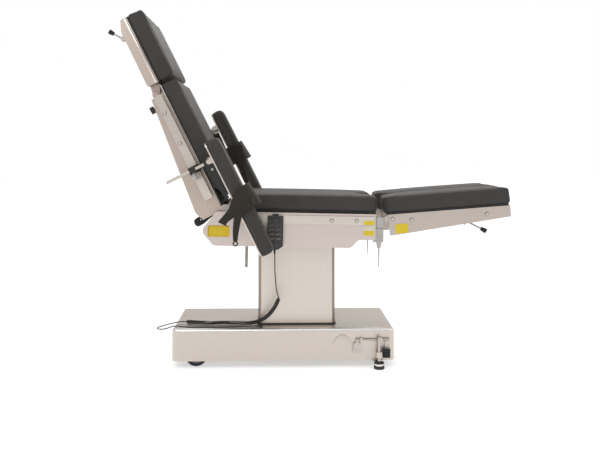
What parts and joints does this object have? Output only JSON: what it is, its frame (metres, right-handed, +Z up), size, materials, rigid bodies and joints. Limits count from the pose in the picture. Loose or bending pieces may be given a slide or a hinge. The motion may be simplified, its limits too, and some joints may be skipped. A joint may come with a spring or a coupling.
{
  "type": "operating table",
  "caption": "Operating table with padded back, head, seat and split leg sections on a lifting column, arm boards, castors, brake pedal and a wired handset.",
  "frame": {"origin": "on the floor, below the middle of the table's outer size as it stands", "axes": "+X to the foot end, +Y to the far side, +Z up"},
  "size_m": [1.822, 0.912, 1.6143],
  "materials": {
    "steel": "satin brushed",
    "base_steel": "satin brushed",
    "frame_paint": "satin",
    "chrome": "polished",
    "hinge_metal": "fine blasted",
    "cushion": "soft sheen",
    "board": "matt",
    "black_plastic": "matt",
    "handset": "matt",
    "black_metal": "satin",
    "rubber": "matt",
    "wheel": "matt",
    "cord": "soft sheen"
  },
  "bodies": {
    "base": {"base_cover": "base_steel", "base_chassis": "frame_paint", "column_gasket": "rubber", "inner_column": "steel", "lift_cylinder": "frame_paint", "cord_gland": "black_plastic", "cord_curl": "cord", "cord_tail": "cord"},
    "column": {"outer_column": "base_steel", "column_head": "frame_paint", "lift_ram": "chrome"},
    "yoke": {"tilt_yoke": "frame_paint"},
    "seat": {"seat_panel_near": "steel", "seat_panel_far": "steel", "seat_frame": "hinge_metal", "seat_board": "board", "seat_pad": "cushion", "seat_rails": "steel", "handset": "handset", "accessory_clamp": "hinge_metal", "cord_lead": "cord"},
    "back": {"back_housing": "steel", "back_board": "board", "back_pad": "cushion", "back_rails": "steel", "back_clevis": "black_metal", "arm_clamp_near": "hinge_metal", "arm_clamp_far": "hinge_metal"},
    "head": {"head_tray": "steel", "head_pad": "cushion"},
    "head_lever": {"head_lever": "black_metal"},
    "head_lock_knob": {"head_lock_knob": "black_plastic"},
    "brake": {"brake_shaft": "chrome"},
    "feet": {"levelling_feet": "rubber"},
    "castor_fork_near": {"castor_fork_near": "hinge_metal"},
    "castor_wheel_near": {"castor_wheel_near": "wheel"},
    "fixed_wheel_near": {"fixed_wheel_near": "wheel"},
    "leg_swivel_near": {"leg_bracket_near": "hinge_metal"},
    "leg_near": {"leg_tray_near": "steel", "leg_pad_near": "cushion"},
    "leg_handle_near": {"leg_handle_near": "chrome"},
    "leg_lever_near": {"leg_lever_near": "black_metal"},
    "arm_clamp_knob_near": {"arm_clamp_knob_near": "black_plastic"},
    "arm_post_near": {"arm_post_near": "steel"},
    "arm_board_near": {"arm_plate_near": "steel", "arm_pad_near": "cushion"},
    "arm_lever_near": {"arm_lever_near": "black_plastic"},
    "castor_fork_far": {"castor_fork_far": "hinge_metal"},
    "castor_wheel_far": {"castor_wheel_far": "wheel"},
    "fixed_wheel_far": {"fixed_wheel_far": "wheel"},
    "leg_swivel_far": {"leg_bracket_far": "hinge_metal"},
    "leg_far": {"leg_tray_far": "steel", "leg_pad_far": "cushion"},
    "leg_handle_far": {"leg_handle_far": "chrome"},
    "leg_lever_far": {"leg_lever_far": "black_metal"},
    "arm_clamp_knob_far": {"arm_clamp_knob_far": "black_plastic"},
    "arm_post_far": {"arm_post_far": "steel"},
    "arm_board_far": {"arm_plate_far": "steel", "arm_pad_far": "cushion"},
    "arm_lever_far": {"arm_lever_far": "black_plastic"}
  },
  "joints": [
    {"name": "lift", "type": "slide", "parent": "base", "child": "column", "axis": [0, 0, 1], "range_m": [0, 0.25]},
    {"name": "long_tilt", "type": "hinge", "parent": "column", "child": "yoke", "pos_m": [-0.059, 0, 0.6], "axis": [0, -1, 0], "range_deg": [-20, 20]},
    {"name": "side_tilt", "type": "hinge", "parent": "yoke", "child": "seat", "pos_m": [-0.05816, 0, 0.63999], "axis": [0.9998, 0, -0.0209], "range_deg": [-15, 15]},
    {"name": "back_hinge", "type": "hinge", "parent": "seat", "child": "back", "pos_m": [-0.3825, 0, 0.7228], "axis": [0, 1, 0], "range_deg": [-77, 12.8]},
    {"name": "head_hinge", "type": "hinge", "parent": "back", "child": "head", "pos_m": [-0.70391, 0, 1.23288], "axis": [0, 1, 0], "range_deg": [-60, 0]},
    {"name": "head_lever_hinge", "type": "hinge", "parent": "head", "child": "head_lever", "pos_m": [-0.84628, -0.2, 1.48368], "axis": [0, 1, 0], "range_deg": [0, 10], "stiffness_Nm_per_rad": 2, "springref_deg": -6.88},
    {"name": "head_lock_turn", "type": "hinge", "parent": "back", "child": "head_lock_knob", "pos_m": [-0.707, -0.15, 1.16982], "axis": [0.8942, 0, 0.4478], "range_deg": [-90, 90]},
    {"name": "leg_swing_near", "type": "hinge", "parent": "seat", "child": "leg_swivel_near", "pos_m": [0.31369, -0.23, 0.6292], "axis": [0.0209, 0, 0.9998], "range_deg": [-90, 0]},
    {"name": "leg_tilt_near", "type": "hinge", "parent": "leg_swivel_near", "child": "leg_near", "pos_m": [0.34654, -0.23, 0.66952], "axis": [0, 1, 0], "range_deg": [0, 75]},
    {"name": "leg_handle_turn_near", "type": "hinge", "parent": "seat", "child": "leg_handle_near", "pos_m": [0.31208, -0.23, 0.55222], "axis": [0.0209, 0, 0.9998], "range_deg": [-90, 90]},
    {"name": "leg_lever_hinge_near", "type": "hinge", "parent": "leg_near", "child": "leg_lever_near", "pos_m": [0.69995, -0.2, 0.664], "axis": [0, -1, 0], "range_deg": [0, 12], "stiffness_Nm_per_rad": 2, "springref_deg": -6.88},
    {"name": "arm_clamp_turn_near", "type": "hinge", "parent": "back", "child": "arm_clamp_knob_near", "pos_m": [-0.50513, -0.352, 0.87165], "axis": [-0.4478, 0, 0.8942], "range_deg": [-90, 90]},
    {"name": "arm_post_slide_near", "type": "slide", "parent": "back", "child": "arm_post_near", "axis": [0.8942, 0, 0.4478], "range_m": [-0.03, 0.09]},
    {"name": "arm_swing_near", "type": "hinge", "parent": "arm_post_near", "child": "arm_board_near", "pos_m": [-0.42422, -0.352, 0.94012], "axis": [-0.8942, 0, -0.4478], "range_deg": [0, 90]},
    {"name": "arm_lever_hinge_near", "type": "hinge", "parent": "arm_board_near", "child": "arm_lever_near", "pos_m": [-0.44211, -0.388, 0.93117], "axis": [0, 1, 0], "range_deg": [0, 25]},
    {"name": "castor_swivel_near", "type": "hinge", "parent": "base", "child": "castor_fork_near", "pos_m": [0.288, -0.122, 0.122], "axis": [0, 0, 1], "continuous": true},
    {"name": "castor_spin_near", "type": "hinge", "parent": "castor_fork_near", "child": "castor_wheel_near", "pos_m": [0.312, -0.122, 0.05], "axis": [0, 1, 0], "continuous": true},
    {"name": "wheel_spin_near", "type": "hinge", "parent": "base", "child": "fixed_wheel_near", "pos_m": [-0.516, -0.188, 0.05], "axis": [0, 1, 0], "continuous": true},
    {"name": "leg_swing_far", "type": "hinge", "parent": "seat", "child": "leg_swivel_far", "pos_m": [0.31369, 0.23, 0.6292], "axis": [-0.0209, 0, -0.9998], "range_deg": [-90, 0]},
    {"name": "leg_tilt_far", "type": "hinge", "parent": "leg_swivel_far", "child": "leg_far", "pos_m": [0.34654, 0.23, 0.66952], "axis": [0, 1, 0], "range_deg": [0, 75]},
    {"name": "leg_handle_turn_far", "type": "hinge", "parent": "seat", "child": "leg_handle_far", "pos_m": [0.31208, 0.23, 0.55222], "axis": [0.0209, 0, 0.9998], "range_deg": [-90, 90]},
    {"name": "leg_lever_hinge_far", "type": "hinge", "parent": "leg_far", "child": "leg_lever_far", "pos_m": [0.69995, 0.2, 0.664], "axis": [0, -1, 0], "range_deg": [0, 12], "stiffness_Nm_per_rad": 2, "springref_deg": -6.88},
    {"name": "arm_clamp_turn_far", "type": "hinge", "parent": "back", "child": "arm_clamp_knob_far", "pos_m": [-0.57319, 0.352, 1.00756], "axis": [-0.4478, 0, 0.8942], "range_deg": [-90, 90]},
    {"name": "arm_post_slide_far", "type": "slide", "parent": "back", "child": "arm_post_far", "axis": [0.8942, 0, 0.4478], "range_m": [-0.06, 0.06]},
    {"name": "arm_swing_far", "type": "hinge", "parent": "arm_post_far", "child": "arm_board_far", "pos_m": [-0.46009, 0.352, 1.09215], "axis": [0.8942, 0, 0.4478], "range_deg": [0, 90]},
    {"name": "arm_lever_hinge_far", "type": "hinge", "parent": "arm_board_far", "child": "arm_lever_far", "pos_m": [-0.47798, 0.388, 1.0832], "axis": [0, 1, 0], "range_deg": [0, 25]},
    {"name": "castor_swivel_far", "type": "hinge", "parent": "base", "child": "castor_fork_far", "pos_m": [0.288, 0.122, 0.122], "axis": [0, 0, 1], "continuous": true},
    {"name": "castor_spin_far", "type": "hinge", "parent": "castor_fork_far", "child": "castor_wheel_far", "pos_m": [0.312, 0.122, 0.05], "axis": [0, 1, 0], "continuous": true},
    {"name": "wheel_spin_far", "type": "hinge", "parent": "base", "child": "fixed_wheel_far", "pos_m": [-0.516, 0.188, 0.05], "axis": [0, 1, 0], "continuous": true},
    {"name": "brake_turn", "type": "hinge", "parent": "base", "child": "brake", "pos_m": [0.28, -0.241, 0.127], "axis": [-1, 0, 0], "range_deg": [0, 25]},
    {"name": "foot_lift", "type": "slide", "parent": "base", "child": "feet", "axis": [0, 0, 1], "range_m": [0, 0.015]}
  ],
  "couplings": [
    {"joint": "brake_turn", "follows": "foot_lift", "rad_per_m": 29}
  ]
}
